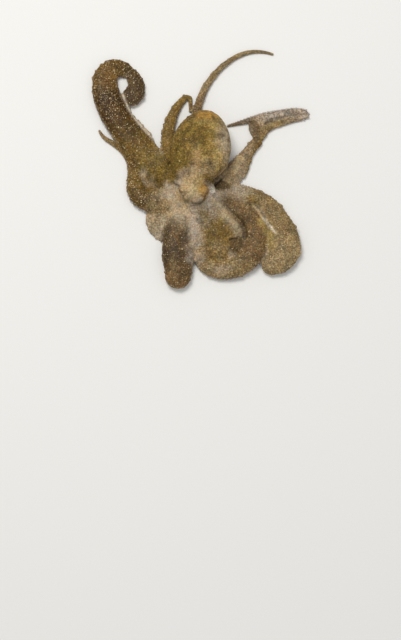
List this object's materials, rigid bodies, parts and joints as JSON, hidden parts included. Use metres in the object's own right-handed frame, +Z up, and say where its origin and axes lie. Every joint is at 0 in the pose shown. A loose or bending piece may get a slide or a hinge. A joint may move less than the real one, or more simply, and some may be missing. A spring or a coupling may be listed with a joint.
{
  "type": "octopus",
  "caption": "Small long-armed octopus resting flat with its mantle leaning back, two arms coiled and two thin arms stretched out, as a still life-size model.",
  "frame": {"origin": "middle of the outline on the floor, at the level of the flat undersides of the arms", "axes": "+Z up from the floor, -Y the way the head faces, +Y from the head to the far end of the mantle, +X the animal's left side"},
  "size_m": [0.1284, 0.1534, 0.0255],
  "materials": {
    "skin": "wet mottled skin",
    "eye": "wet gloss"
  },
  "bodies": {
    "root": {"arm_left_1_base": "skin", "arm_left_1_end": "skin", "arm_left_1_middle": "skin", "arm_left_1_outer": "skin", "arm_left_1_tip": "skin", "arm_left_2_base": "skin", "arm_left_2_end": "skin", "arm_left_2_middle": "skin", "arm_left_3_base": "skin", "arm_left_3_middle": "skin", "arm_left_3_return": "skin", "arm_left_3_tip": "skin", "arm_left_3_turn": "skin", "arm_left_4_base": "skin", "arm_left_4_outer": "skin", "arm_left_4_tip": "skin", "arm_right_1_base": "skin", "arm_right_1_end": "skin", "arm_right_2_base": "skin", "arm_right_2_middle": "skin", "arm_right_2_tip": "skin", "arm_right_3_base": "skin", "arm_right_3_bend": "skin", "arm_right_3_curl": "skin", "arm_right_3_end": "skin", "arm_right_3_middle": "skin", "arm_right_4_base": "skin", "arm_right_4_middle": "skin", "arm_right_4_tip": "skin", "arm_right_4_turn": "skin", "crown": "skin", "eye_left": "eye", "eye_right": "eye", "funnel": "skin", "head": "skin", "mantle": "skin", "web_fold": "skin", "web_front": "skin"}
  },
  "joints": []
}
